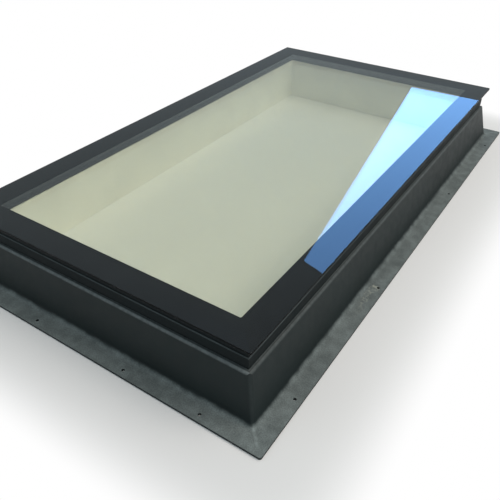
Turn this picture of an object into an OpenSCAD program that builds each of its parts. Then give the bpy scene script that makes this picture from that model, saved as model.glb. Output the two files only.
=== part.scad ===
// Flat roof skylight: a stepped double-glazed unit in a slim rail frame on an insulated moulded kerb.
// Units are millimetres. The origin is the middle of the base, X runs along the short side,
// Y along the long side and Z up.

/* [Opening] */
// Clear width of the daylight opening, along X
clear_width = 600; // [400:10:1000]
// Clear length of the daylight opening, along Y
clear_length = 1200; // [600:10:2000]
// Width of the dark glass border, from the clear opening to the glass edge
border = 57.5; // [55:0.5:90]

/* [Glass unit] */
// Thickness of the outer pane
outer_glass = 6; // [4:0.5:12]
// Thickness of the inner pane
inner_glass = 6; // [4:0.5:12]
// Gas space between the panes
cavity = 16; // [10:1:24]
// Ground arris on the outer pane's edges
arris = 1; // [0.5:0.1:1.5]
// Cut across the outer pane's corner points
corner_cut = 2; // [1:0.5:6]
// Width of the spacer bar
spacer_width = 12; // [8:0.5:14]
// Wall of the hollow spacer bar
spacer_wall = 1; // [0.6:0.1:1.5]
// Thickness of each butyl strip between spacer and pane
butyl_thickness = 0.5; // [0.3:0.1:1]
// Width of each butyl strip
butyl_width = 6; // [4:0.5:7]
// Depth of the edge sealant behind the spacer bar
sealant_depth = 8; // [5:0.5:10]
// Length of each leg of a spacer corner key
key_leg = 32; // [20:1:50]
// Clearance of keys and drying grains inside the spacer bar
key_clearance = 0.2; // [0.1:0.05:0.4]

/* [Rail frame] */
// Overhang of the outer pane past the rail's upright lip
overhang = 15.5; // [13:0.5:16]
// Height of the rail from its foot to the glass platform
rail_height = 21; // [16:1:30]
// Wall of the extruded rail
rail_wall = 2; // [1.5:0.1:3]
// Thickness of the upright lip
lip_thickness = 3; // [2:0.5:4]
// Radius of the rounded shoulder outside the lip
shoulder_radius = 3; // [2:0.5:4]
// Gap between the rail's skirt and the kerb ledge
skirt_gap = 0.5; // [0.3:0.1:1]
// Space between the lip and the inner pane's edge
edge_gap = 5; // [4:0.5:7]
// Length of each leg of a corner cleat
cleat_leg = 60; // [40:5:100]
// Clearance of the corner cleats in the rail chamber
cleat_clearance = 0.2; // [0.1:0.05:0.5]

/* [Seals and packers] */
// Thickness of the seal between kerb and rail
kerb_seal_thickness = 3; // [2:0.5:6]
// Setback of that seal from the rail's skirt and inner face
kerb_seal_setback = 1; // [0.5:0.5:4]
// Thickness of the glazing tape under the inner pane
tape_thickness = 3; // [2:0.5:6]
// Width of the glazing tape
tape_width = 16; // [10:1:20]
// Thickness of the weather seal between lip and outer pane
bed_thickness = 4; // [3:0.5:8]
// Width of the weather seal
bed_width = 6; // [4:0.5:7]
// Length of each edge packer
packer_length = 60; // [30:5:100]
// Height of each edge packer
packer_height = 14; // [8:1:15]
// Distance of the packers' middles from the glass corners
packer_inset = 160; // [100:10:220]

/* [Kerb] */
// Height of the kerb ledge above the base
kerb_height = 100; // [90:1:300]
// Wall thickness of the kerb moulding
kerb_wall = 5; // [4:0.5:8]
// Setback of the ridge line behind the glass edge
ridge_inset = 6; // [3:0.5:7]
// How far the sloping wall runs out between ledge and flange
wall_run = 22; // [10:1:26]
// Radius of the rounded ridge
ridge_radius = 8; // [5:0.5:9]
// Radius of the cove between wall and flange
cove_radius = 12; // [8:1:22]
// Radius of the kerb's upright corners
corner_radius = 8; // [4:0.5:10]
// Reach of the flange past the glass edge
flange_reach = 55; // [50:1:90]
// Thickness of the flange
flange_thickness = 5; // [4:0.5:8]
// Radius of the flange's corners
flange_corner = 4; // [2:0.5:10]

/* [Flange holes] */
// Diameter of a flange fixing hole
hole_diameter = 6; // [4:0.5:8]
// Distance of the holes from the flange edge
hole_edge = 13; // [9:0.5:16]
// Distance of the outer holes from the glass corner
hole_corner = 72.5; // [40:2.5:100]
// Place of the inner holes, as a share of the way from a side's middle to its outer holes
hole_share = 0.4; // [0.3:0.05:0.5]

/* [Lining and core] */
// Thickness of the inner lining
lining = 3; // [2:0.5:5]
// Radius of the lining's inner corners
lining_corner = 6; // [4:0.5:12]
// Height of the timber battens under the ledge
batten_height = 18; // [12:1:25]
// Space between the battens and the kerb wall
batten_gap = 4; // [1:0.5:8]

/* [Frame screws] */
// Shank diameter
screw_diameter = 5; // [4:0.5:6]
// Head diameter
screw_head = 10; // [8:0.5:12]
// How far a screw runs into its batten
screw_bite = 16; // [10:0.5:17]
// Clearance round the shank
screw_clearance = 0.1; // [0.05:0.05:0.5]
// Pitch of the screws along the long sides
long_screw_pitch = 260; // [200:10:270]
// Pitch of the screws along the short sides
short_screw_pitch = 220; // [150:10:230]
// Least distance from the last screw to the end of the corner cleat
screw_end = 40; // [20:5:70]

/* [Hidden] */
$fn = 48;
// Spare length on shapes that only cut
spare = 1;
// Gap between the lining's base flange and the kerb wall
lining_gap = 0.9;
// Gap between the insulation core and the kerb wall
core_gap = 0.2;
half_width = clear_width / 2 + border;
half_length = clear_length / 2 + border;
// Levels, from the base up
seal_level = kerb_height;
foot_level = seal_level + kerb_seal_thickness;
platform_level = foot_level + rail_height;
inner_level = platform_level + tape_thickness;
cavity_level = inner_level + inner_glass;
outer_level = cavity_level + cavity;
top_level = outer_level + outer_glass;
lip_level = outer_level - bed_thickness;
ledge_under = kerb_height - kerb_wall;
batten_under = ledge_under - batten_height;
spacer_level = cavity_level + butyl_thickness;
spacer_height = cavity - 2 * butyl_thickness;
// Lines in plan, measured inwards from the glass edge
rail_face = overhang - shoulder_radius;
lip_inner = overhang + lip_thickness;
step_back = lip_inner + edge_gap;
spacer_outer = step_back + sealant_depth;
spacer_inner = spacer_outer + spacer_width;
lining_back = border - lining;
web_line = (overhang + lining_back) / 2;
screw_line = (web_line + lining_back) / 2;
tape_outer = screw_line - tape_width / 2;
// The kerb's sloping wall, with the lengths at which ridge and cove touch the lines they round
slope = atan(wall_run / (kerb_height - flange_thickness));
bend = tan((90 - slope) / 2);
ridge = ridge_radius * bend;
ridge_line = ridge_inset + ridge;
cove = cove_radius * bend;
wall_inset = kerb_wall / cos(slope);
ridge_foot = kerb_height - ridge * cos(slope);
cove_top = flange_thickness + cove * cos(slope);
foot_line = wall_run - ridge_inset;
cove_end = foot_line + cove;
// The kerb's upright corners: lean of the corner line, angle of each wall's outward direction from
// the diagonal, and the line in plan about which the foot turns the corner, in whole steps so that
// its straight and turned lengths meet exactly
lean = atan(sqrt(2) * tan(slope));
splay = atan2(cos(slope) / sqrt(2), cos(slope) * cos(lean) / sqrt(2) + sin(slope) * sin(lean));
axis_step = 0.1;
foot_axis = axis_step * round((foot_line - cove * sin(slope) - corner_radius) / axis_step);
hole_line = flange_reach - hole_edge;
screw_head_height = (screw_head - screw_diameter) / 2;
screw_length = rail_height + kerb_seal_thickness + kerb_wall + screw_bite;
// Sides: name, turn about Z, distance of the glass edge from the middle, half length of that edge
SIDES = [
    ["front", 0, half_length, half_width],
    ["right", 90, half_width, half_length],
    ["back", 180, half_length, half_width],
    ["left", 270, half_width, half_length]
];

// Distance outwards from the glass edge of the wall's outer face at a level
function wall_line(level) =
    wall_run * (kerb_height - level) / (kerb_height - flange_thickness) - ridge_inset;

// Evenly pitched places about the middle of a run, as many as fit in a half length
function places(pitch, half) =
    let(count = floor(half / pitch))
    [for (i = [-count : count]) i * pitch];

// Plan of a rounded rectangle given by its half sizes
module rounded_plan(half_x, half_y, radius) {
    square([2 * half_x, 2 * (half_y - radius)], center = true);
    square([2 * (half_x - radius), 2 * half_y], center = true);
    for (x = [-1, 1], y = [-1, 1])
        translate([x * (half_x - radius), y * (half_y - radius)])
            circle(radius);
}

// Flat ring between two lines measured inwards from the glass edge
module ring(level, height, outer, inner) {
    translate([0, 0, level])
        linear_extrude(height)
            difference() {
                square([2 * (half_width - outer), 2 * (half_length - outer)], center = true);
                square([2 * (half_width - inner), 2 * (half_length - inner)], center = true);
            }
}

// Bar along one side: a section drawn with X outwards from the glass edge and Y up
module side_bar(distance, half) {
    translate([0, -distance, 0])
        rotate([90, 0, -90])
            linear_extrude(2 * half, center = true)
                children();
}

// The same bar cut on the mitre at both ends
module mitred_bar(side) {
    distance = side[2];
    half = side[3];
    deep = border + spare;
    far = flange_reach;
    rotate(side[1])
        intersection() {
            side_bar(distance, half + far) children();
            translate([0, 0, -spare])
                linear_extrude(top_level + 2 * spare)
                    polygon([
                        [-half - far, -distance - far],
                        [half + far, -distance - far],
                        [half - deep, -distance + deep],
                        [-half + deep, -distance + deep]
                    ]);
        }
}

// What stands in the corner where X and Y are positive, repeated in all four
module at_corners() {
    for (x = [0, 1], y = [0, 1])
        mirror([x, 0, 0])
            mirror([0, y, 0])
                children();
}

// A section through the short way, run the long way
module run_long() {
    rotate([90, 0, 0])
        linear_extrude(2 * (half_length + flange_reach), center = true)
            children();
}

// A section through the long way, run the short way
module run_short() {
    rotate([90, 0, 90])
        linear_extrude(2 * (half_width + flange_reach), center = true)
            children();
}

// Section through the whole kerb: sloping walls under two rounded ridges
module kerb_section(half) {
    polygon([
        [-half - wall_line(0), 0],
        [-half - wall_line(ridge_foot), ridge_foot],
        [-half + ridge_line, kerb_height],
        [half - ridge_line, kerb_height],
        [half + wall_line(ridge_foot), ridge_foot],
        [half + wall_line(0), 0]
    ]);
    for (x = [-1, 1])
        translate([x * (half - ridge_line), kerb_height - ridge_radius])
            circle(ridge_radius);
}

// Section through the space inside the kerb's walls
module void_section(half) {
    top = half + wall_line(ledge_under) - wall_inset;
    foot = half + wall_line(-spare) - wall_inset;
    polygon([[-foot, -spare], [-top, ledge_under], [top, ledge_under], [foot, -spare]]);
}

// Section, across a corner line at the origin, of what is cut away to round it
module corner_waste() {
    touch = corner_radius * [cos(splay) - 1 / cos(splay), sin(splay)];
    out = spare * [cos(splay), sin(splay)];
    difference() {
        polygon([
            touch,
            touch + out,
            [spare / cos(splay), 0],
            [touch[0] + out[0], -touch[1] - out[1]],
            [touch[0], -touch[1]]
        ]);
        translate([-corner_radius / cos(splay), 0]) circle(corner_radius);
    }
}

// Solid body of the kerb: four sloping walls with rounded ridges and rounded upright corners
module kerb_body() {
    length = (kerb_height + 2 * spare) / cos(lean);
    difference() {
        intersection() {
            run_long() kerb_section(half_width);
            run_short() kerb_section(half_length);
        }
        at_corners()
            translate([half_width - ridge_inset, half_length - ridge_inset, kerb_height])
                rotate([0, -lean, 45])
                    translate([0, 0, -length])
                        linear_extrude(length + spare) corner_waste();
    }
}

// Section of the coved foot between wall and flange, clear of the line it turns about
module foot_section() {
    foot_inner = foot_axis + axis_step;
    difference() {
        polygon([
            [foot_inner, 0],
            [foot_inner, cove_top],
            [wall_line(cove_top), cove_top],
            [cove_end, flange_thickness],
            [cove_end, 0]
        ]);
        translate([cove_end, flange_thickness + cove_radius]) circle(cove_radius);
    }
}

// Coved foot along the four sides and round the corners
module kerb_foot() {
    for (side = SIDES)
        rotate(side[1])
            side_bar(side[2], side[3] + foot_axis) foot_section();
    at_corners()
        translate([half_width + foot_axis, half_length + foot_axis, 0])
            rotate_extrude(angle = 90)
                translate([-foot_axis, 0]) foot_section();
}

// One-piece kerb moulding: ledge, sloping walls, coved foot and drilled flange
module kerb() {
    color("#34393b")
        difference() {
            union() {
                kerb_body();
                kerb_foot();
                linear_extrude(flange_thickness)
                    rounded_plan(half_width + flange_reach, half_length + flange_reach, flange_corner);
            }
            intersection() {
                run_long() void_section(half_width);
                run_short() void_section(half_length);
            }
            translate([0, 0, ledge_under - spare])
                linear_extrude(kerb_wall + 2 * spare)
                    square(2 * [half_width - lining_back, half_length - lining_back], center = true);
            flange_holes();
            frame_screw_holes(screw_diameter);
        }
}

// Fixing holes through the flange on all four sides
module flange_holes() {
    for (side = SIDES, share = [-1, -hole_share, hole_share, 1])
        rotate(side[1])
            translate([share * (side[3] - hole_corner), -side[2] - hole_line, -spare])
                cylinder(d = hole_diameter, h = flange_thickness + 2 * spare);
}

// Places of the screws that hold the rails down
module at_frame_screws() {
    for (side = SIDES) {
        long = side[0] == "left" || side[0] == "right";
        reach = side[3] - cleat_leg - screw_end;
        for (place = places(long ? long_screw_pitch : short_screw_pitch, reach))
            rotate(side[1])
                translate([place, -side[2] + screw_line, platform_level])
                    children();
    }
}

// Bores for those screws
module frame_screw_holes(diameter) {
    at_frame_screws()
        translate([0, 0, -screw_length - spare])
            cylinder(d = diameter + 2 * screw_clearance, h = screw_length + 2 * spare);
}

// Countersunk frame screw, head up
module frame_screws() {
    color("#9aa0a3")
        at_frame_screws()
            rotate([180, 0, 0])
                rotate_extrude()
                    polygon([
                        [0, 0],
                        [screw_head / 2, 0],
                        [screw_diameter / 2, screw_head_height],
                        [screw_diameter / 2, screw_length - screw_diameter],
                        [0, screw_length]
                    ]);
}

// Inner lining: upright skin and a base flange under the core
module lining() {
    base_edge = wall_line(lining) - wall_inset - lining_gap;
    color("#e9e5d8")
        union() {
            linear_extrude(platform_level)
                difference() {
                    square(2 * [half_width - lining_back, half_length - lining_back], center = true);
                    rounded_plan(half_width - border, half_length - border, lining_corner);
                }
            linear_extrude(lining)
                difference() {
                    square(2 * [half_width + base_edge, half_length + base_edge], center = true);
                    square(2 * [half_width - lining_back, half_length - lining_back], center = true);
                }
        }
}

// Insulation core between lining and kerb wall, one length to a side
module core(side) {
    color("#d9c27a")
        mitred_bar(side)
            polygon([
                [-lining_back, lining],
                [-lining_back, batten_under],
                [wall_line(batten_under) - wall_inset - core_gap, batten_under],
                [wall_line(lining) - wall_inset - core_gap, lining]
            ]);
}

// Timber batten under the kerb ledge, which the frame screws bite into
module batten(side) {
    edge = wall_line(ledge_under) - wall_inset - batten_gap;
    color("#b58d5e")
        difference() {
            mitred_bar(side)
                translate([-lining_back, batten_under])
                    square([lining_back + edge, batten_height]);
            frame_screw_holes(screw_diameter);
        }
}

module kerb_seal() {
    color("#1c1d1e")
        difference() {
            ring(
                seal_level, kerb_seal_thickness,
                rail_face + rail_wall + kerb_seal_setback, lining_back - kerb_seal_setback
            );
            frame_screw_holes(screw_diameter);
        }
}

// Section of the rail: two chambers, platform, upright lip, rounded shoulder and a skirt over the seal
module rail_section() {
    shoulder_level = platform_level - shoulder_radius;
    skirt_level = kerb_height + skirt_gap;
    difference() {
        union() {
            translate([-lining_back, foot_level])
                square([lining_back - overhang, rail_height]);
            translate([-overhang, foot_level])
                square([shoulder_radius, shoulder_level - foot_level]);
            translate([-overhang, shoulder_level])
                circle(shoulder_radius);
            translate([-rail_face - rail_wall, skirt_level])
                square([rail_wall, shoulder_level - skirt_level]);
            translate([-lip_inner, foot_level])
                square([lip_thickness, lip_level - foot_level]);
        }
        translate([-web_line + rail_wall / 2, foot_level + rail_wall])
            square([web_line - rail_face - 1.5 * rail_wall, rail_height - 2 * rail_wall]);
        translate([-lining_back + rail_wall, foot_level + rail_wall])
            square([lining_back - web_line - 1.5 * rail_wall, rail_height - 2 * rail_wall]);
    }
}

// One mitred length of the rail frame, countersunk for its screws
module rail(side) {
    color("#3b4143")
        difference() {
            mitred_bar(side) rail_section();
            frame_screw_holes(screw_diameter);
            at_frame_screws()
                translate([0, 0, -screw_head_height])
                    cylinder(
                        d1 = screw_diameter + 2 * screw_clearance,
                        d2 = screw_head + 2 * screw_clearance,
                        h = screw_head_height
                    );
        }
}

// L-shaped block at each corner of a hollow bar, between two lines in plan
module corner_block(outer, inner, leg, level, height) {
    at_corners()
        translate([half_width - outer, half_length - outer, level])
            linear_extrude(height)
                polygon([
                    [0, 0],
                    [-leg, 0],
                    [-leg, outer - inner],
                    [outer - inner, outer - inner],
                    [outer - inner, -leg],
                    [0, -leg]
                ]);
}

module corner_cleats() {
    color("#a9afb2")
        corner_block(
            rail_face + rail_wall + cleat_clearance,
            web_line - rail_wall / 2 - cleat_clearance,
            cleat_leg,
            foot_level + rail_wall + cleat_clearance,
            rail_height - 2 * rail_wall - 2 * cleat_clearance
        );
}

module glazing_tape() {
    color("#202122")
        ring(platform_level, tape_thickness, tape_outer, tape_outer + tape_width);
}

// Packers between the upright lip and the inner pane's edge
module edge_packers() {
    color("#2d6b49")
        for (side = SIDES)
            for (place = [-1, 1])
                rotate(side[1])
                    translate([
                        place * (side[3] - packer_inset) - packer_length / 2,
                        -side[2] + lip_inner,
                        platform_level
                    ])
                        cube([packer_length, edge_gap, packer_height]);
}

module inner_pane() {
    color("#cfe3da", 0.35)
        translate([0, 0, inner_level])
            linear_extrude(inner_glass)
                square(2 * [half_width - step_back, half_length - step_back], center = true);
}

module lower_butyl() {
    color("#151616")
        ring(
            cavity_level, butyl_thickness,
            spacer_outer + (spacer_width - butyl_width) / 2,
            spacer_inner - (spacer_width - butyl_width) / 2
        );
}

module upper_butyl() {
    color("#151616")
        ring(
            outer_level - butyl_thickness, butyl_thickness,
            spacer_outer + (spacer_width - butyl_width) / 2,
            spacer_inner - (spacer_width - butyl_width) / 2
        );
}

// One mitred length of hollow spacer bar
module spacer(side) {
    color("#2a2c2e")
        mitred_bar(side)
            difference() {
                translate([-spacer_inner, spacer_level])
                    square([spacer_width, spacer_height]);
                translate([-spacer_inner + spacer_wall, spacer_level + spacer_wall])
                    square([spacer_width - 2 * spacer_wall, spacer_height - 2 * spacer_wall]);
            }
}

module spacer_keys() {
    color("#4a4d50")
        corner_block(
            spacer_outer + spacer_wall + key_clearance,
            spacer_inner - spacer_wall - key_clearance,
            key_leg,
            spacer_level + spacer_wall + key_clearance,
            spacer_height - 2 * spacer_wall - 2 * key_clearance
        );
}

// Drying grains packed in the spacer bars between the corner keys
module drying_grains() {
    inset = spacer_wall + key_clearance;
    color("#d8d2c4")
        for (side = SIDES)
            rotate(side[1])
                side_bar(side[2], side[3] - spacer_outer - inset - key_leg)
                    translate([-spacer_inner + inset, spacer_level + spacer_wall])
                        square([spacer_width - 2 * inset, spacer_height - 2 * inset]);
}

module edge_sealant() {
    color("#131414")
        ring(cavity_level, cavity, step_back, spacer_outer);
}

module weather_seal() {
    color("#131414")
        ring(lip_level, bed_thickness, overhang, overhang + bed_width);
}

// Section across the outer pane with its arrissed edges
module pane_section(half) {
    polygon([
        [-half, arris],
        [-half + arris, 0],
        [half - arris, 0],
        [half, arris],
        [half, outer_glass - arris],
        [half - arris, outer_glass],
        [-half + arris, outer_glass],
        [-half, outer_glass - arris]
    ]);
}

// Outer pane: arrissed on every edge, with its corner points cut off
module outer_pane() {
    color("#b9d4c9", 0.35)
        translate([0, 0, outer_level])
            intersection() {
                run_long() pane_section(half_width);
                run_short() pane_section(half_length);
                translate([0, 0, -spare])
                    linear_extrude(outer_glass + 2 * spare)
                        polygon([
                            [-half_width, -half_length + corner_cut],
                            [-half_width + corner_cut, -half_length],
                            [half_width - corner_cut, -half_length],
                            [half_width, -half_length + corner_cut],
                            [half_width, half_length - corner_cut],
                            [half_width - corner_cut, half_length],
                            [-half_width + corner_cut, half_length],
                            [-half_width, half_length - corner_cut]
                        ]);
            }
}

kerb();
lining();
core(SIDES[0]);  // core_front
core(SIDES[1]);  // core_right
core(SIDES[2]);  // core_back
core(SIDES[3]);  // core_left
batten(SIDES[0]);  // batten_front
batten(SIDES[1]);  // batten_right
batten(SIDES[2]);  // batten_back
batten(SIDES[3]);  // batten_left
kerb_seal();
rail(SIDES[0]);  // rail_front
rail(SIDES[1]);  // rail_right
rail(SIDES[2]);  // rail_back
rail(SIDES[3]);  // rail_left
corner_cleats();
frame_screws();
glazing_tape();
edge_packers();
inner_pane();
lower_butyl();
spacer(SIDES[0]);  // spacer_front
spacer(SIDES[1]);  // spacer_right
spacer(SIDES[2]);  // spacer_back
spacer(SIDES[3]);  // spacer_left
spacer_keys();
drying_grains();
upper_butyl();
edge_sealant();
weather_seal();
outer_pane();
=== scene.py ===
"""Finish of a fixed flat roof skylight: glass unit, rail frame, moulded kerb and a plain studio.

All sizes are in metres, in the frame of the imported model: X along the short side, Y along the
long side, Z up, with the origin in the middle of the base.
"""

from __future__ import annotations

import logging
import math
from dataclasses import dataclass
from enum import Enum

import bpy
import numpy as np
from mathutils import Matrix, Quaternion, Vector

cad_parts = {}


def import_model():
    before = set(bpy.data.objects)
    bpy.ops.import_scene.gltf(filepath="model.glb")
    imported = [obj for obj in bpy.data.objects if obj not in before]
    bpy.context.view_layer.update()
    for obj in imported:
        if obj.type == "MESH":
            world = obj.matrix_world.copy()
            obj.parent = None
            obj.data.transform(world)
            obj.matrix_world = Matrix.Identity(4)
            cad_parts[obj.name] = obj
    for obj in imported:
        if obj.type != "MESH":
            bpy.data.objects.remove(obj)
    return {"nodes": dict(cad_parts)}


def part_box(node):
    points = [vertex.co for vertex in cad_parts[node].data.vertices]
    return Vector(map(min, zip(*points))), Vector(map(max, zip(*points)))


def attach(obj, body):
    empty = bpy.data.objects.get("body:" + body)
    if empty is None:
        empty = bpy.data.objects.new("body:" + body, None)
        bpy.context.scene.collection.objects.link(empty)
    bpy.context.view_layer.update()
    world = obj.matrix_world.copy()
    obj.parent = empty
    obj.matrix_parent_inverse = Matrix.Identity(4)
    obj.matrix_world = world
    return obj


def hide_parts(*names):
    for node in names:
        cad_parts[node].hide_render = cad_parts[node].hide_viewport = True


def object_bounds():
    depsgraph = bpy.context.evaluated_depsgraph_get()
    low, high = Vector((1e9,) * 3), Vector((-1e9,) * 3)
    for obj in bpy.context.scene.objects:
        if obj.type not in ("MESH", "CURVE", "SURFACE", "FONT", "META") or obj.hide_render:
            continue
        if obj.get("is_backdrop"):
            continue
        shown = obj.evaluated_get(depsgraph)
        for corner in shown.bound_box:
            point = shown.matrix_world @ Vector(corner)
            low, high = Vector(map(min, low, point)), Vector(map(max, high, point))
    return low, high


LOG = logging.getLogger("skylight")
BODY = "root"
SEALANT_SLOT = "sealant_black"

Colour = tuple[float, float, float]
Point = tuple[float, float, float]
Span = tuple[float, float]
Socket = bpy.types.NodeSocket
Axes = dict[str, Socket]

WHITE: Colour = (1.0, 1.0, 1.0)
UPWARD: Point = (0.0, 0.0, 1.0)
FALLING: Span = (1.0, 0.0)
# Readings between which a soft random pattern mostly lies
MIDDLE: Span = (0.3, 0.7)
# Places of the colour sockets on a mix node
MIX_SHARE = 0
MIX_UNDER = 6
MIX_OVER = 7
MIX_RESULT = 2


class Side(Enum):
    """The four sides of the skylight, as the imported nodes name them."""

    FRONT = "front"
    RIGHT = "right"
    BACK = "back"
    LEFT = "left"


class Sum(Enum):
    """Ways of joining two numbers in a material."""

    ADD = "ADD"
    TAKE = "SUBTRACT"
    TIMES = "MULTIPLY"
    MOST = "MAXIMUM"
    ZIGZAG = "PINGPONG"


class Graph:
    """Node tree of one material, with short calls for adding and joining nodes."""

    def __init__(self, name: str) -> None:
        """Start an empty material.

        Args:
            name: Name of the material.
        """
        self.material = bpy.data.materials.new(name)
        self.material.use_nodes = True
        self.tree = self.material.node_tree
        self.tree.nodes.clear()
        self.output = self.tree.nodes.new("ShaderNodeOutputMaterial")
        self.place = self.tree.nodes.new("ShaderNodeTexCoord").outputs["Object"]

    def feed(self, target: Socket, value: object) -> None:
        """Link a socket, or set it to a plain value.

        Args:
            target: Input socket.
            value: Output socket, number or colour.
        """
        if isinstance(value, Socket):
            self.tree.links.new(value, target)
        elif isinstance(value, tuple) and len(value) == 3 and target.type == "RGBA":
            target.default_value = (*value, 1.0)
        else:
            target.default_value = value

    def number(self, how: Sum, first: object, second: object) -> Socket:
        """Join two numbers.

        Args:
            how: The sum to do.
            first: Socket or number.
            second: Socket or number.

        Returns:
            The result's socket.
        """
        node = self.tree.nodes.new("ShaderNodeMath")
        node.operation = how.value
        self.feed(node.inputs[0], first)
        self.feed(node.inputs[1], second)
        return node.outputs[0]

    def product(self, first: object, *others: object) -> Socket:
        """Multiply several numbers.

        Args:
            first: Socket or number.
            *others: The further factors.

        Returns:
            The product's socket.
        """
        result = first
        for other in others:
            result = self.number(Sum.TIMES, result, other)
        return result

    def unsigned(self, value: Socket) -> Socket:
        """Drop a number's sign."""
        return self.number(Sum.MOST, value, self.number(Sum.TIMES, value, -1.0))

    def stretched(self, factors: Point) -> Socket:
        """Object coordinates scaled along each axis.

        Args:
            factors: Scale along X, Y and Z.

        Returns:
            The scaled coordinates.
        """
        node = self.tree.nodes.new("ShaderNodeMapping")
        node.inputs["Scale"].default_value = factors
        self.feed(node.inputs["Vector"], self.place)
        return node.outputs[0]

    def axes(self, vector: Socket) -> Axes:
        """Split a vector.

        Args:
            vector: Socket of a vector.

        Returns:
            Sockets named X, Y and Z.
        """
        node = self.tree.nodes.new("ShaderNodeSeparateXYZ")
        self.feed(node.inputs[0], vector)
        return {axis: node.outputs[axis] for axis in "XYZ"}

    def facing(self) -> Axes:
        """Split the surface normal into X, Y and Z."""
        return self.axes(self.tree.nodes.new("ShaderNodeNewGeometry").outputs["Normal"])

    def noise(self, scale: float, detail: float = 3.0, where: object = None) -> Socket:
        """Soft random pattern.

        Args:
            scale: Blotches per metre.
            detail: Octaves of finer pattern.
            where: Coordinates, or None for plain Object coordinates.

        Returns:
            Socket of values round one half.
        """
        node = self.tree.nodes.new("ShaderNodeTexNoise")
        node.inputs["Scale"].default_value = scale
        node.inputs["Detail"].default_value = detail
        self.feed(node.inputs["Vector"], self.place if where is None else where)
        return node.outputs["Fac"]

    def cells(self, scale: float) -> Socket:
        """Distance to the nearest of scattered points, for speckle.

        Args:
            scale: Points per metre.

        Returns:
            Socket of distances.
        """
        node = self.tree.nodes.new("ShaderNodeTexVoronoi")
        node.inputs["Scale"].default_value = scale
        self.feed(node.inputs["Vector"], self.place)
        return node.outputs["Distance"]

    def ramp(self, value: object, reading: Span, result: Span = (0.0, 1.0)) -> Socket:
        """Smooth step from one value to another.

        Args:
            value: Socket to read.
            reading: Readings at which the step begins and ends.
            result: Results there.

        Returns:
            The result's socket.
        """
        node = self.tree.nodes.new("ShaderNodeMapRange")
        node.interpolation_type = "SMOOTHSTEP"
        node.inputs["From Min"].default_value = reading[0]
        node.inputs["From Max"].default_value = reading[1]
        node.inputs["To Min"].default_value = result[0]
        node.inputs["To Max"].default_value = result[1]
        self.feed(node.inputs["Value"], value)
        return node.outputs["Result"]

    def vary(self, pattern: Socket, result: Span) -> Socket:
        """Spread a random pattern's middle readings over a range of results.

        Args:
            pattern: Socket of a soft random pattern.
            result: Lowest and highest result.

        Returns:
            The result's socket.
        """
        return self.ramp(pattern, MIDDLE, result)

    def band(self, value: Socket, rise: Span, fall: Span) -> Socket:
        """Share that rises over one span of readings and falls again over another.

        Args:
            value: Socket to read.
            rise: Readings over which it rises from 0 to 1.
            fall: Readings over which it falls back to 0.

        Returns:
            The share's socket.
        """
        return self.product(self.ramp(value, rise), self.ramp(value, fall, FALLING))

    def mix(self, share: object, under: object, over: object) -> Socket:
        """Lay one colour over another.

        Args:
            share: How much of the upper colour shows.
            under: Lower colour.
            over: Upper colour.

        Returns:
            The mixed colour.
        """
        node = self.tree.nodes.new("ShaderNodeMix")
        node.data_type = "RGBA"
        self.feed(node.inputs[MIX_SHARE], share)
        self.feed(node.inputs[MIX_UNDER], under)
        self.feed(node.inputs[MIX_OVER], over)
        return node.outputs[MIX_RESULT]

    def shade(self, colour: object, factor: object) -> Socket:
        """Multiply a colour by a number.

        Args:
            colour: Colour to change.
            factor: Number to multiply by.

        Returns:
            The changed colour.
        """
        node = self.tree.nodes.new("ShaderNodeVectorMath")
        node.operation = "SCALE"
        self.feed(node.inputs[0], colour)
        self.feed(node.inputs["Scale"], factor)
        return node.outputs[0]

    def bump(self, height: Socket, depth: float, strength: float, under: object = None) -> Socket:
        """Surface relief from a height pattern.

        Args:
            height: Pattern of heights.
            depth: Depth of the relief in metres.
            strength: Share of the relief that shows.
            under: Normal of a coarser relief below, or None.

        Returns:
            The bent normal.
        """
        node = self.tree.nodes.new("ShaderNodeBump")
        node.inputs["Distance"].default_value = depth
        node.inputs["Strength"].default_value = strength
        self.feed(node.inputs["Height"], height)
        if under is not None:
            self.feed(node.inputs["Normal"], under)
        return node.outputs[0]

    def surface(
        self, colour: object, roughness: object, normal: object = None, **plain: object
    ) -> Socket:
        """Principled surface joined to the output.

        Args:
            colour: Base colour.
            roughness: Roughness.
            normal: Bent normal, or None.
            **plain: Further sockets by name, with underscores for spaces.

        Returns:
            The shader's socket.
        """
        node = self.tree.nodes.new("ShaderNodeBsdfPrincipled")
        self.feed(node.inputs["Base Color"], colour)
        self.feed(node.inputs["Roughness"], roughness)
        if normal is not None:
            self.feed(node.inputs["Normal"], normal)
        for name, value in plain.items():
            self.feed(node.inputs[name.replace("_", " ")], value)
        self.tree.links.new(node.outputs[0], self.output.inputs["Surface"])
        return node.outputs[0]

    def cover(self, share: Socket, under: Socket, over: Socket) -> None:
        """Join two shaders to the output, the upper one by its share.

        Args:
            share: How much of the upper shader shows.
            under: Lower shader.
            over: Upper shader.
        """
        node = self.tree.nodes.new("ShaderNodeMixShader")
        self.feed(node.inputs[0], share)
        self.feed(node.inputs[1], under)
        self.feed(node.inputs[2], over)
        self.feed(self.output.inputs["Surface"], node.outputs[0])

    def rays(self, *kinds: str) -> Socket:
        """Share that is 1 for any of the named kinds of ray.

        Args:
            *kinds: Names such as "Is Shadow Ray".

        Returns:
            The share's socket.
        """
        node = self.tree.nodes.new("ShaderNodeLightPath")
        share = node.outputs[kinds[0]]
        for kind in kinds[1:]:
            share = self.number(Sum.MOST, share, node.outputs[kind])
        return share


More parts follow.
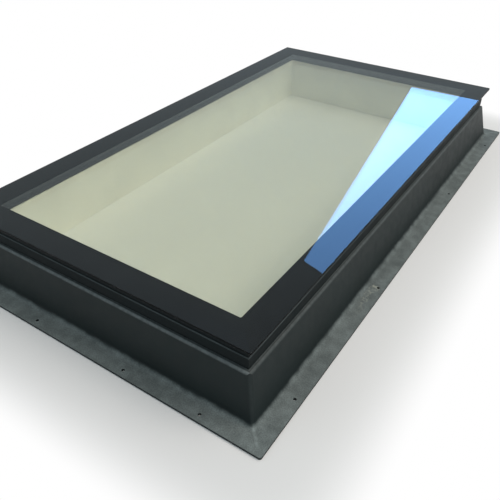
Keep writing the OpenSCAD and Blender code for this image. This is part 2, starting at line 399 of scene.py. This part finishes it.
@dataclass(frozen=True)
class KerbFinish:
    """Matt moulded glass-fibre kerb: dark walls, a ridge with painted highlight and some rubbing, and
    a flange of dust lightened by painted top light.

    A field that ends in scale counts blotches per metre. A span gives the lowest and the highest
    result of a pattern, or the readings between which a share rises or falls.
    """

    half_x: float
    half_y: float
    ridge_level: float
    name: str = "kerb_moulding"
    grey: Colour = (0.0118, 0.0192, 0.0196)
    # Colour of the painted highlight on the ridge, ledge and corners, with some rubbing
    highlight_and_rub_colour: Colour = (0.200, 0.225, 0.225)
    # Colour of the flange: dust, made paler as painted top light on the level flange
    dust_and_top_light: Colour = (0.186, 0.216, 0.212)
    pale_dust: Colour = (0.37, 0.39, 0.34)
    gloss: float = 0.22
    roughness: Span = (0.52, 0.82)
    uneven: float = 0.04
    broad_scale: float = 9.0
    close_scale: float = 48.0
    grain_scale: float = 420.0
    pore_scale: float = 1300.0
    wave_scale: float = 16.0
    flange_top: float = 0.006
    cove_top: float = 0.026
    flange_facing: Span = (0.35, 0.98)
    drift_scale: float = 42.0
    drift_height: Span = (0.0025, -0.0015)
    drift_facing: Span = (-0.10, 0.08)
    dust_and_top_light_share: float = 0.9
    # Depth below the ridge, share range, side factor and corner share of the painted highlight with
    # some rubbing
    highlight_and_rub_depth: Span = (0.020, 0.010)
    rub_scale: float = 120.0
    highlight_and_rub_share: Span = (0.66, 0.98)
    highlight_beside_front: float = 0.42
    corner_highlight_share: Span = (0.03, 0.07)
    seam_width: float = 0.006
    seam_share: float = 0.85
    seam_pale: float = 1.6
    seam_scale: float = 110.0
    seam_start: Span = (0.010, 0.018)
    seam_end: Span = (0.028, 0.050)
    drilled: tuple[float, float] = (0.3995, -0.234)
    heap_aside: float = 0.008
    heap_size: Span = (0.002, 0.007)
    smear_width: Span = (0.003, 0.009)
    smear_start: Span = (-0.125, -0.03)
    smear_end: Span = (-0.004, 0.004)
    smear_share: float = 0.6
    scatter_scale: float = 190.0
    wander: float = 0.006
    wander_scale: float = 45.0

    def build(self) -> bpy.types.Material:
        """Make the material: dark walls, then dust with painted top light, painted highlight with some
        rubbing on the edges, flange seams and drilling dust.
        """
        graph = Graph(self.name)
        place = graph.axes(graph.place)
        facing = graph.facing()
        broad = graph.noise(self.broad_scale)
        close = graph.noise(self.close_scale, detail=4.0)
        grain = graph.noise(self.grain_scale, detail=2.0)
        lying = self.flange(graph, place, facing)
        tone = graph.product(graph.vary(broad, (0.92, 1.08)), graph.vary(close, (0.95, 1.05)))
        colour = graph.shade(self.grey, tone)
        # Share of flange colour on level low surfaces: partly dust, partly painted top light
        dusty_and_top_lit = graph.product(lying, graph.vary(broad, (0.82, 1.0)), self.dust_and_top_light_share)
        speckle = graph.product(graph.vary(close, (0.84, 1.16)), graph.vary(grain, (0.84, 1.18)))
        colour = graph.mix(dusty_and_top_lit, colour, graph.shade(self.dust_and_top_light, speckle))
        seam_colour = graph.shade(self.dust_and_top_light, self.seam_pale)
        colour = graph.mix(self.seams(graph, place, lying), colour, seam_colour)
        # Share of painted highlight, with some rubbing, on the ridge, the shaded ledge and the corners
        rub = self.painted_highlight_and_rub(graph, place, facing, close)
        colour = graph.mix(rub, colour, self.highlight_and_rub_colour)
        colour = graph.mix(self.drillings(graph, place, lying), colour, self.pale_dust)
        matt = graph.ramp(dusty_and_top_lit, (0.0, 0.8), self.roughness)
        rough = graph.number(Sum.ADD, matt, graph.vary(close, (-self.uneven, self.uneven)))
        waves = graph.bump(graph.noise(self.wave_scale, detail=1.0), depth=0.0007, strength=0.3)
        pores = graph.number(Sum.ADD, grain, graph.noise(self.pore_scale, detail=2.0))
        relief = graph.bump(pores, depth=0.00022, strength=0.35, under=waves)
        graph.surface(colour, rough, relief, Specular_IOR_Level=self.gloss)
        return graph.material

    def flange(self, graph: Graph, place: Axes, facing: Axes) -> Socket:
        """Share by which the surface is flange: low and level, with an edge that drifts.

        Args:
            graph: The material's node tree.
            place: Object coordinates.
            facing: Surface normal.

        Returns:
            Socket of the share.
        """
        drift = graph.noise(self.drift_scale, detail=2.0)
        height = graph.number(Sum.ADD, place["Z"], graph.vary(drift, self.drift_height))
        low = graph.ramp(height, (self.flange_top, self.cove_top), FALLING)
        level = graph.number(Sum.ADD, facing["Z"], graph.vary(drift, self.drift_facing))
        return graph.product(graph.ramp(level, self.flange_facing), low)

    def painted_highlight_and_rub(self, graph: Graph, place: Axes, facing: Axes, close: Socket) -> Socket:
        """Share of painted highlight, with some rubbing: along the rounded ridge, as painted light
        over the ledge that the glass overhang shades, stronger on the front, and fainter down the
        upright corners.

        Args:
            graph: The material's node tree.
            place: Object coordinates.
            facing: Surface normal.
            close: Pattern that breaks up the painted highlight down the corners.

        Returns:
            Socket of the share.
        """
        levels = (self.ridge_level - self.highlight_and_rub_depth[0], self.ridge_level - self.highlight_and_rub_depth[1])
        high = graph.ramp(place["Z"], levels)
        rounded = graph.band(facing["Z"], (0.25, 0.75), (0.85, 1.0))
        # Painted light on the flat ledge, which the glass overhang shades
        ledge = graph.ramp(facing["Z"], (0.9, 0.99))
        # Painted highlight: full on the front ridge, weaker on the other sides
        front = graph.ramp(facing["Y"], (-0.55, -0.25), (1.0, self.highlight_beside_front))
        broken = graph.vary(graph.noise(self.rub_scale), self.highlight_and_rub_share)
        ridge = graph.product(graph.number(Sum.MOST, rounded, ledge), high, front, broken)
        # Faint painted highlight down the upright corners
        both = graph.unsigned(graph.product(facing["X"], facing["Y"]))
        upright = graph.ramp(graph.unsigned(facing["Z"]), (0.3, 0.7), FALLING)
        turning = graph.ramp(both, (0.25, 0.47))
        corner = graph.product(turning, upright, graph.vary(close, self.corner_highlight_share))
        return graph.number(Sum.MOST, ridge, corner)

    def seams(self, graph: Graph, place: Axes, lying: Socket) -> Socket:
        """Share of the pale seams that run out along the flange's corner diagonals.

        Args:
            graph: The material's node tree.
            place: Object coordinates.
            lying: Share by which the surface is flange.

        Returns:
            Socket of the share.
        """
        past_x = graph.number(Sum.TAKE, graph.unsigned(place["X"]), self.half_x)
        past_y = graph.number(Sum.TAKE, graph.unsigned(place["Y"]), self.half_y)
        aside = graph.unsigned(graph.number(Sum.TAKE, past_x, past_y))
        across = graph.ramp(aside, (0.0, self.seam_width), FALLING)
        outside = graph.band(past_x, self.seam_start, self.seam_end)
        broken = graph.vary(graph.noise(self.seam_scale, detail=2.0), (0.35, 1.0))
        return graph.product(across, outside, broken, lying, self.seam_share)

    def drillings(self, graph: Graph, place: Axes, lying: Socket) -> Socket:
        """Share of pale drilling dust: a heap beside one hole, a broken smear and stray specks.

        Args:
            graph: The material's node tree.
            place: Object coordinates.
            lying: Share by which the surface is flange.

        Returns:
            Socket of the share.
        """
        wander = graph.vary(graph.noise(self.wander_scale, detail=2.0), (-self.wander, self.wander))
        beside = graph.number(Sum.TAKE, place["X"], self.drilled[0] - self.heap_aside)
        aside = graph.number(Sum.ADD, beside, wander)
        along = graph.number(Sum.TAKE, place["Y"], self.drilled[1])
        across = graph.ramp(graph.unsigned(aside), self.smear_width, FALLING)
        length = graph.band(along, self.smear_start, self.smear_end)
        scatter = graph.noise(self.scatter_scale)
        patchy = graph.ramp(scatter, (0.44, 0.64))
        smear = graph.product(across, length, patchy, self.smear_share)
        specks = graph.ramp(scatter, (0.69, 0.76), (0.0, 0.35))
        from_heap = graph.number(Sum.ADD, graph.unsigned(aside), graph.unsigned(along))
        heap = graph.ramp(from_heap, self.heap_size, (0.9, 0.0))
        loose = graph.number(Sum.MOST, smear, specks)
        return graph.product(graph.number(Sum.MOST, loose, heap), lying)


@dataclass(frozen=True)
class CoatedFinish:
    """Powder-coated or anodised metal: an even colour with a fine pebbled skin and a painted highlight
    on rounded edges.
    """

    name: str
    colour: Colour
    # Colour of the painted highlight on rounded edges
    edge_highlight: Colour
    roughness: float = 0.6
    uneven: float = 0.06
    gloss: float = 0.1
    patch_scale: float = 30.0
    pebble_scale: float = 1400.0

    def build(self) -> bpy.types.Material:
        """Make the material."""
        graph = Graph(self.name)
        patch = graph.noise(self.patch_scale)
        skin = graph.noise(self.pebble_scale, detail=2.0)
        colour = graph.shade(self.colour, graph.vary(patch, (0.9, 1.1)))
        # Painted highlight on the rounded shoulders, which the glass overhang shades
        rounded = graph.band(graph.facing()["Z"], (0.2, 0.5), (0.88, 0.99))
        rub = graph.product(rounded, graph.vary(patch, (0.6, 0.95)))
        colour = graph.mix(rub, colour, self.edge_highlight)
        rough = graph.vary(patch, (self.roughness - self.uneven, self.roughness + self.uneven))
        relief = graph.bump(skin, depth=0.0001, strength=0.4)
        graph.surface(colour, rough, relief, Specular_IOR_Level=self.gloss)
        return graph.material


@dataclass(frozen=True)
class SpacerFinish:
    """Dark anodised spacer bar with a row of fine breathing slots along its middle."""

    level: float
    name: str = "spacer_anodised"
    colour: Colour = (0.020, 0.021, 0.022)
    slot: Colour = (0.002, 0.002, 0.002)
    roughness: Span = (0.32, 0.46)
    metal: float = 0.6
    pitch: float = 0.004
    slot_long: float = 0.0012
    slot_high: float = 0.0003
    rub_scale: float = 200.0
    rub_stretch: Point = (1.0, 1.0, 8.0)

    def build(self) -> bpy.types.Material:
        """Make the material; the slots repeat along X + Y, of which only one changes along a bar."""
        graph = Graph(self.name)
        place = graph.axes(graph.place)
        run = graph.number(Sum.ZIGZAG, graph.number(Sum.ADD, place["X"], place["Y"]), self.pitch / 2)
        rise = graph.unsigned(graph.number(Sum.TAKE, place["Z"], self.level))
        in_run = graph.ramp(run, (0.8 * self.slot_long, self.slot_long), FALLING)
        in_rise = graph.ramp(rise, (0.7 * self.slot_high, self.slot_high), FALLING)
        rub = graph.noise(self.rub_scale, where=graph.stretched(self.rub_stretch))
        colour = graph.shade(self.colour, graph.vary(rub, (0.85, 1.15)))
        colour = graph.mix(graph.product(in_run, in_rise), colour, self.slot)
        graph.surface(colour, graph.vary(rub, self.roughness), Metallic=self.metal)
        return graph.material


@dataclass(frozen=True)
class PlasticFinish:
    """Moulded or sheet plastic with faint mottling and a stippled skin."""

    name: str
    colour: Colour
    roughness: float = 0.5
    patch_scale: float = 12.0
    stipple_scale: float = 500.0

    def build(self) -> bpy.types.Material:
        """Make the material."""
        graph = Graph(self.name)
        patch = graph.noise(self.patch_scale, detail=4.0)
        skin = graph.noise(self.stipple_scale, detail=2.0)
        colour = graph.shade(self.colour, graph.vary(patch, (0.95, 1.04)))
        rough = graph.vary(patch, (self.roughness - 0.05, self.roughness + 0.07))
        graph.surface(colour, rough, graph.bump(skin, depth=0.0002, strength=0.3))
        return graph.material


@dataclass(frozen=True)
class RubberFinish:
    """Black sealant, butyl or foam strip, slightly uneven."""

    name: str
    colour: Colour
    roughness: float = 0.5
    gloss: float = 0.4
    patch_scale: float = 60.0
    pore_scale: float = 300.0

    def build(self) -> bpy.types.Material:
        """Make the material."""
        graph = Graph(self.name)
        soft = graph.noise(self.patch_scale)
        skin = graph.noise(self.pore_scale)
        colour = graph.shade(self.colour, graph.vary(soft, (0.8, 1.4)))
        rough = graph.vary(soft, (self.roughness - 0.08, self.roughness + 0.1))
        relief = graph.bump(skin, depth=0.0003, strength=0.35)
        graph.surface(colour, rough, relief, Specular_IOR_Level=self.gloss)
        return graph.material


@dataclass(frozen=True)
class FoamFinish:
    """Cut rigid foam board or packed grains, with open cells."""

    name: str
    colour: Colour
    roughness: float = 0.9
    gloss: float = 0.2
    cell_scale: float = 900.0
    patch_scale: float = 25.0

    def build(self) -> bpy.types.Material:
        """Make the material."""
        graph = Graph(self.name)
        pores = graph.cells(self.cell_scale)
        patch = graph.noise(self.patch_scale)
        open_cells = graph.ramp(pores, (0.05, 0.5), (0.75, 1.05))
        tone = graph.product(open_cells, graph.vary(patch, (0.94, 1.05)))
        colour = graph.shade(self.colour, tone)
        relief = graph.bump(pores, depth=0.0006, strength=0.6)
        graph.surface(colour, self.roughness, relief, Specular_IOR_Level=self.gloss)
        return graph.material


@dataclass(frozen=True)
class TimberFinish:
    """Plywood: thin plies up the edge and long grain along the bar."""

    name: str
    light: Colour
    dark: Colour
    roughness: float = 0.75
    ply: float = 0.003
    grain_scale: float = 18.0
    grain_stretch: Point = (3.0, 3.0, 40.0)

    def build(self) -> bpy.types.Material:
        """Make the material."""
        graph = Graph(self.name)
        plies = graph.number(Sum.ZIGZAG, graph.axes(graph.place)["Z"], self.ply)
        stripe = graph.ramp(plies, (0.35 * self.ply, 0.65 * self.ply), (0.0, 0.5))
        grain = graph.noise(self.grain_scale, detail=6.0, where=graph.stretched(self.grain_stretch))
        share = graph.number(Sum.ADD, stripe, graph.ramp(grain, (0.35, 0.65), (0.0, 0.5)))
        colour = graph.mix(share, self.light, self.dark)
        graph.surface(colour, self.roughness, graph.bump(grain, depth=0.0003, strength=0.4))
        return graph.material


@dataclass(frozen=True)
class BareMetalFinish:
    """Bare or plated metal with fine rubbing marks."""

    name: str
    colour: Colour
    roughness: float = 0.35
    rub_scale: float = 90.0
    rub_stretch: Point = (1.0, 1.0, 12.0)

    def build(self) -> bpy.types.Material:
        """Make the material."""
        graph = Graph(self.name)
        rub = graph.noise(self.rub_scale, detail=4.0, where=graph.stretched(self.rub_stretch))
        rough = graph.vary(rub, (self.roughness - 0.1, self.roughness + 0.12))
        colour = graph.shade(self.colour, graph.vary(rub, (0.9, 1.05)))
        graph.surface(colour, rough, graph.bump(rub, depth=0.0001, strength=0.25), Metallic=1.0)
        return graph.material


@dataclass(frozen=True)
class GlassFinish:
    """Clear float glass with a slight tint, which lets lamp light through."""

    name: str
    tint: Colour
    index: float = 1.52

    def build(self) -> bpy.types.Material:
        """Make the material: glass for sight, a tinted clear film for light from the lamps."""
        graph = Graph(self.name)
        glass = graph.surface(self.tint, 0.0, Transmission_Weight=1.0, IOR=self.index)
        film = graph.tree.nodes.new("ShaderNodeBsdfTransparent")
        film.inputs["Color"].default_value = (*(math.sqrt(part) for part in self.tint), 1.0)
        graph.cover(graph.rays("Is Shadow Ray"), glass, film.outputs[0])
        return graph.material


@dataclass(frozen=True)
class EnamelFinish:
    """Black ceramic border fired on the pane's underside and edge."""

    name: str = "border_enamel"
    colour: Colour = (0.0040, 0.0050, 0.0054)
    roughness: Span = (0.35, 0.5)
    gloss: float = 0.05
    cloud_scale: float = 26.0

    def build(self) -> bpy.types.Material:
        """Make the material."""
        graph = Graph(self.name)
        cloud = graph.noise(self.cloud_scale)
        colour = graph.shade(self.colour, graph.vary(cloud, (0.8, 1.2)))
        graph.surface(colour, graph.vary(cloud, self.roughness), Specular_IOR_Level=self.gloss)
        return graph.material


def mesh_object(name: str, points: np.ndarray, faces: np.ndarray, crease: float) -> bpy.types.Object:
    """Object from points and four-sided faces.

    Args:
        name: Name of the object.
        points: Array of shape (number, 3).
        faces: Array of shape (number, 4) of indices.
        crease: Angle in degrees past which an edge stays sharp.

    Returns:
        The object, linked to the scene.
    """
    mesh = bpy.data.meshes.new(name)
    mesh.from_pydata(points.tolist(), [], faces.tolist())
    mesh.update()
    mesh.shade_smooth()
    mesh.set_sharp_from_angle(angle=math.radians(crease))
    piece = bpy.data.objects.new(name, mesh)
    bpy.context.scene.collection.objects.link(piece)
    return piece


@dataclass(frozen=True)
class Ring:
    """A section carried round a rectangle with rounded corners."""

    half_x: float
    half_y: float
    corner_points: int = 7
    crease: float = 40.0

    def sweep(self, name: str, section: np.ndarray) -> bpy.types.Object:
        """Carry a closed section round the rectangle.

        A point of the section at (out, up, radius) runs round the rectangle moved outwards by out,
        at level up. Each corner is a quarter circle of that radius: its centre lies one radius in
        from both sides, and its points are centre + radius * (cos t, sin t).

        Args:
            name: Name of the piece.
            section: Array of (out, up, radius), anticlockwise in (out, up).

        Returns:
            The finished object.
        """
        signs = np.array([(1.0, 1.0), (-1.0, 1.0), (-1.0, -1.0), (1.0, -1.0)])
        starts = np.arange(4) * math.pi / 2
        turn = starts[:, None] + np.linspace(0.0, math.pi / 2, self.corner_points)[None, :]
        arc = np.stack([np.cos(turn), np.sin(turn)], axis=-1)
        out, up, radius = section.T
        reach = np.stack([self.half_x + out - radius, self.half_y + out - radius], axis=-1)
        centre = signs[:, None, None, :] * reach[None, None, :, :]
        plan = (centre + arc[:, :, None, :] * radius[None, None, :, None]).reshape(-1, len(section), 2)
        level = np.broadcast_to(up[None, :, None], (len(plan), len(section), 1))
        points = np.concatenate([plan, level], axis=2)
        index = np.arange(points.shape[0] * points.shape[1]).reshape(points.shape[:2])
        ahead = np.roll(index, -1, axis=0)
        above = np.roll(index, -1, axis=1)
        faces = np.stack([index, ahead, np.roll(ahead, -1, axis=1), above], axis=-1)
        return mesh_object(name, points.reshape(-1, 3), faces.reshape(-1, 4), self.crease)


@dataclass
class Assembly:
    """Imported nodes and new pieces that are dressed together."""

    nodes: dict[str, bpy.types.Object]

    def dress(self, node: str, material: bpy.types.Material) -> None:
        """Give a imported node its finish.

        Args:
            node: Name of the node.
            material: Finish to show.
        """
        slots = self.nodes[node].data.materials
        slots.clear()
        slots.append(material)
        LOG.info("%s: %s", node, material.name)

    def add(self, piece: bpy.types.Object, material: bpy.types.Material, slot: str) -> None:
        """Dress a new piece and fix it to the skylight.

        Args:
            piece: The new object.
            material: Its finish.
            slot: Not used.
        """
        piece.data.materials.append(material)
        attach(piece, BODY)
        LOG.info("%s: %s", piece.name, material.name)


@dataclass
class Kerb(Assembly):
    """Moulded kerb with its lining, insulation and battens."""

    lining: PlasticFinish = PlasticFinish("lining_cream", (0.88, 0.87, 0.81), roughness=0.45)
    core: FoamFinish = FoamFinish("core_foam", (0.72, 0.58, 0.25))
    batten: TimberFinish = TimberFinish("batten_plywood", (0.52, 0.34, 0.17), (0.33, 0.19, 0.09))

    def finish(self) -> None:
        """Dress the kerb's nodes."""
        _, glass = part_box("outer_pane")
        seal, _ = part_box("kerb_seal")
        self.dress("kerb", KerbFinish(glass[0], glass[1], seal[2]).build())
        self.dress("lining", self.lining.build())
        foam = self.core.build()
        timber = self.batten.build()
        for side in Side:
            self.dress(f"core_{side.value}", foam)
            self.dress(f"batten_{side.value}", timber)


@dataclass
class RailFrame(Assembly):
    """Rails between kerb and glass, with their cleats, screws, seals and packers."""

    # The second colour is the painted highlight on the rail shoulders
    coat: CoatedFinish = CoatedFinish("rail_coat", (0.0098, 0.0145, 0.0156), (0.098, 0.118, 0.121))
    cleat: BareMetalFinish = BareMetalFinish("cleat_aluminium", (0.62, 0.64, 0.65))
    screw: BareMetalFinish = BareMetalFinish("screw_zinc", (0.6, 0.6, 0.58), roughness=0.3)
    foam: RubberFinish = RubberFinish(
        "foam_strip", (0.012, 0.012, 0.013), roughness=0.85, pore_scale=700.0
    )
    silicone: RubberFinish = RubberFinish(
        "weather_silicone", (0.007, 0.007, 0.008), roughness=0.4, pore_scale=120.0
    )
    packer: PlasticFinish = PlasticFinish("packer_green", (0.03, 0.15, 0.07), roughness=0.35)
    bead_spread: float = 0.0025
    bead_depth: float = 0.006
    bead_corner: float = 0.0015
    bead_points: int = 10

    def finish(self) -> None:
        """Dress the frame's nodes and lay the tooled bead under the glass."""
        coat = self.coat.build()
        for side in Side:
            self.dress(f"rail_{side.value}", coat)
        self.dress("corner_cleats", self.cleat.build())
        self.dress("frame_screws", self.screw.build())
        foam = self.foam.build()
        self.dress("kerb_seal", foam)
        self.dress("glazing_tape", foam)
        self.dress("edge_packers", self.packer.build())
        bead = self.build_bead()
        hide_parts("weather_seal")
        self.add(bead, self.silicone.build(), SEALANT_SLOT)

    def build_bead(self) -> bpy.types.Object:
        """Tooled weather bead: flat back, hollow face spreading out under the glass.

        The face runs from the lip's edge to the pane along a quarter of an ellipse, hollow
        outwards: out = spread * (1 - cos t), up = height * sin t.

        Returns:
            The bead's object.
        """
        low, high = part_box("weather_seal")
        turn = np.linspace(0.0, math.pi / 2, self.bead_points)
        out = self.bead_spread * (1 - np.cos(turn))
        up = low[2] + (high[2] - low[2]) * np.sin(turn)
        face = np.stack([out, up, self.bead_corner + out], axis=1)
        back = np.array([
            (-self.bead_depth, high[2], self.bead_corner),
            (-self.bead_depth, low[2], self.bead_corner),
        ])
        return Ring(high[0], high[1]).sweep("weather_bead", np.concatenate([face, back]))


@dataclass
class GlassUnit(Assembly):
    """Stepped double-glazed unit with its black border."""

    outer: GlassFinish = GlassFinish("outer_float_glass", (0.845, 0.866, 0.812))
    inner: GlassFinish = GlassFinish("inner_float_glass", (0.850, 0.870, 0.818))
    border: EnamelFinish = EnamelFinish()
    key: PlasticFinish = PlasticFinish("spacer_key", (0.07, 0.075, 0.08))
    grains: FoamFinish = FoamFinish("drying_grains", (0.65, 0.62, 0.52), cell_scale=700.0)
    butyl: RubberFinish = RubberFinish("butyl_strip", (0.01, 0.01, 0.01), roughness=0.6)
    sealant: RubberFinish = RubberFinish("edge_sealant", (0.008, 0.008, 0.009), roughness=0.45)
    border_width: float = 0.0575
    border_skin: float = 0.00004
    edge_cover: float = 0.00012
    arris: float = 0.0012
    border_corner: float = 0.00207
    clear_corner: float = 0.0015

    def finish(self) -> None:
        """Dress the unit's nodes and lay the border under the outer pane."""
        self.dress("outer_pane", self.outer.build())
        self.dress("inner_pane", self.inner.build())
        low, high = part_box("spacer_front")
        bar = SpacerFinish((low[2] + high[2]) / 2).build()
        for side in Side:
            self.dress(f"spacer_{side.value}", bar)
        self.dress("spacer_keys", self.key.build())
        self.dress("drying_grains", self.grains.build())
        butyl = self.butyl.build()
        self.dress("lower_butyl", butyl)
        self.dress("upper_butyl", butyl)
        self.dress("edge_sealant", self.sealant.build())
        self.add(self.build_border(), self.border.build(), SEALANT_SLOT)

    def build_border(self) -> bpy.types.Object:
        """Thin ring in the pane's underside, from the clear opening to its edge and up that edge.

        The section is an L one skin thick: level in the underside, slanting past the arris and
        upright over the edge.

        Returns:
            The border's object.
        """
        low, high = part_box("outer_pane")
        skin = self.border_skin
        base = low[2] + skin
        edge = self.edge_cover
        bend = -self.arris
        rise = base + self.arris
        top = high[2] - self.arris
        section = np.array([
            (-self.border_width, base, self.clear_corner),
            (bend, base, self.border_corner),
            (edge, rise, self.border_corner),
            (edge, top, self.border_corner),
            (edge - skin, top, self.border_corner),
            (edge - skin, rise, self.border_corner),
            (bend - skin, base + skin, self.border_corner),
            (-self.border_width, base + skin, self.clear_corner),
        ])
        return Ring(high[0], high[1], corner_points=2).sweep("border_print", section)


@dataclass(frozen=True)
class Lamp:
    """One soft rectangular lamp."""

    name: str
    place: Point
    aim: Point
    width: float
    height: float
    watts: float
    colour: Colour = WHITE
    turn: float = 0.0
    lights_matt: bool = True

    def hang(self) -> None:
        """Put the lamp in the scene, turned about its own axis and out of the camera's sight."""
        data = bpy.data.lights.new(self.name, "AREA")
        data.shape = "RECTANGLE"
        data.size = self.width
        data.size_y = self.height
        data.energy = self.watts
        data.color = self.colour
        lamp = bpy.data.objects.new(self.name, data)
        look = (Vector(self.aim) - Vector(self.place)).to_track_quat("-Z", "Y")
        turned = look @ Quaternion(UPWARD, math.radians(self.turn))
        lamp.matrix_world = Matrix.Translation(self.place) @ turned.to_matrix().to_4x4()
        lamp.visible_camera = False
        lamp.visible_diffuse = self.lights_matt
        bpy.context.scene.collection.objects.link(lamp)


@dataclass
class Studio:
    """Pale floor that curves up far behind, soft light and the camera.

    The cool panel shows in glass and gloss only, so that it tints no matt surface.
    """

    reach: tuple[float, float]
    floor_colour: Colour = (0.90, 0.90, 0.895)
    floor_half: float = 15.0
    floor_points: int = 121
    floor_flat: float = 9.0
    floor_far: float = 14.0
    floor_rim: float = 3.4
    floor_drop: float = 0.0005
    floor_crease: float = 60.0
    shadow_width: float = 0.18
    sky: Colour = (0.37, 0.43, 0.46)
    top_lamp: Lamp = Lamp(
        name="top_lamp",
        place=(2.4, 0.7, 4.0),
        aim=(0.0, 0.0, 0.1),
        width=3.5,
        height=3.5,
        watts=128.0,
        colour=(1.0, 0.90, 0.82),
    )
    cool_panel: Lamp = Lamp(
        name="cool_panel",
        place=(-0.206, 1.632, 1.157),
        aim=(-1.057, 0.399, -0.168),
        width=0.56,
        height=1.228,
        watts=10.1,
        colour=(0.16, 0.44, 1.0),
        turn=13.0,
        lights_matt=False,
    )
    eye: Point = (0.6752, -1.1476, 0.7749)
    aim: Point = (0.2132, -0.4437, 0.155)
    roll: float = 0.53
    lens: float = 40.81
    sensor: float = 36.0

    def build(self) -> None:
        """Set up floor, sky, lamps and camera."""
        self.lay_floor()
        self.light_sky()
        self.top_lamp.hang()
        self.cool_panel.hang()
        self.place_camera()
        bpy.context.scene.view_settings.view_transform = "Standard"

    def light_sky(self) -> None:
        """Even soft light from all round, which the camera itself sees as plain white."""
        world = bpy.data.worlds.new("studio_light")
        world.use_nodes = True
        tree = world.node_tree
        tree.nodes.clear()
        soft = tree.nodes.new("ShaderNodeBackground")
        soft.inputs["Color"].default_value = (*self.sky, 1.0)
        white = tree.nodes.new("ShaderNodeBackground")
        white.inputs["Color"].default_value = (*WHITE, 1.0)
        choice = tree.nodes.new("ShaderNodeMixShader")
        path = tree.nodes.new("ShaderNodeLightPath")
        tree.links.new(path.outputs["Is Camera Ray"], choice.inputs[0])
        tree.links.new(soft.outputs[0], choice.inputs[1])
        tree.links.new(white.outputs[0], choice.inputs[2])
        tree.links.new(choice.outputs[0], tree.nodes.new("ShaderNodeOutputWorld").inputs["Surface"])
        bpy.context.scene.world = world

    def lay_floor(self) -> None:
        """Floor under the base: flat, then rising to a rim far out.

        At distance r from the middle its level is rim * s * s * (3 - 2 s), where s goes from 0 to 1
        between the flat part's edge and the far edge.
        """
        line = np.linspace(-self.floor_half, self.floor_half, self.floor_points)
        x, y = np.meshgrid(line, line)
        beyond = np.hypot(x, y) - self.floor_flat
        share = np.clip(beyond / (self.floor_far - self.floor_flat), 0.0, 1.0)
        level = self.floor_rim * share * share * (3 - 2 * share) - self.floor_drop
        points = np.stack([x, y, level], axis=-1).reshape(-1, 3)
        index = np.arange(self.floor_points**2).reshape(self.floor_points, self.floor_points)
        faces = np.stack([index[:-1, :-1], index[:-1, 1:], index[1:, 1:], index[1:, :-1]], axis=-1)
        floor = mesh_object("studio_floor", points, faces.reshape(-1, 4), self.floor_crease)
        floor.data.materials.append(self.floor_material())
        floor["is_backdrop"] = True

    def floor_material(self) -> bpy.types.Material:
        """Matt pale floor that goes to plain white past the object; its rim mirrors like the sky."""
        graph = Graph("studio_floor")
        tone = graph.vary(graph.noise(1.5, detail=2.0), (0.99, 1.01))
        colour = graph.shade(self.floor_colour, tone)
        matt = graph.surface(colour, roughness=0.9, Specular_IOR_Level=0.0)
        place = graph.axes(graph.place)
        past_x = graph.number(Sum.TAKE, graph.unsigned(place["X"]), self.reach[0])
        past_y = graph.number(Sum.TAKE, graph.unsigned(place["Y"]), self.reach[1])
        past_x = graph.number(Sum.MOST, past_x, 0.0)
        past_y = graph.number(Sum.MOST, past_y, 0.0)
        squared = graph.number(Sum.ADD, graph.product(past_x, past_x), graph.product(past_y, past_y))
        away = graph.ramp(squared, (0.0, self.shadow_width**2))
        seen = graph.rays("Is Camera Ray", "Is Glossy Ray", "Is Transmission Ray")
        white = graph.tree.nodes.new("ShaderNodeEmission")
        mirrored = graph.ramp(place["Z"], (0.0, self.floor_rim), (1.0, self.sky[0]))
        strength = graph.number(Sum.MOST, mirrored, graph.rays("Is Camera Ray"))
        graph.feed(white.inputs["Strength"], strength)
        graph.cover(graph.product(seen, away), matt, white.outputs[0])
        return graph.material

    def place_camera(self) -> None:
        """Camera at the photograph's place, with its slight roll."""
        data = bpy.data.cameras.new("camera")
        data.lens = self.lens
        data.sensor_width = self.sensor
        camera = bpy.data.objects.new("camera", data)
        look = (Vector(self.aim) - Vector(self.eye)).to_track_quat("-Z", "Y")
        turn = Quaternion(UPWARD, math.radians(self.roll))
        camera.matrix_world = Matrix.Translation(self.eye) @ (look @ turn).to_matrix().to_4x4()
        bpy.context.scene.collection.objects.link(camera)
        bpy.context.scene.camera = camera


def main() -> None:
    """Load the frame, measure its extent, dress it and set up the studio round it."""
    logging.basicConfig(level=logging.INFO, format="%(name)s: %(message)s")
    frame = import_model()
    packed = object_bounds()
    Kerb(frame["nodes"]).finish()
    RailFrame(frame["nodes"]).finish()
    GlassUnit(frame["nodes"]).finish()
    Studio((packed[1][0], packed[1][1])).build()


if __name__ == "__main__":
    main()
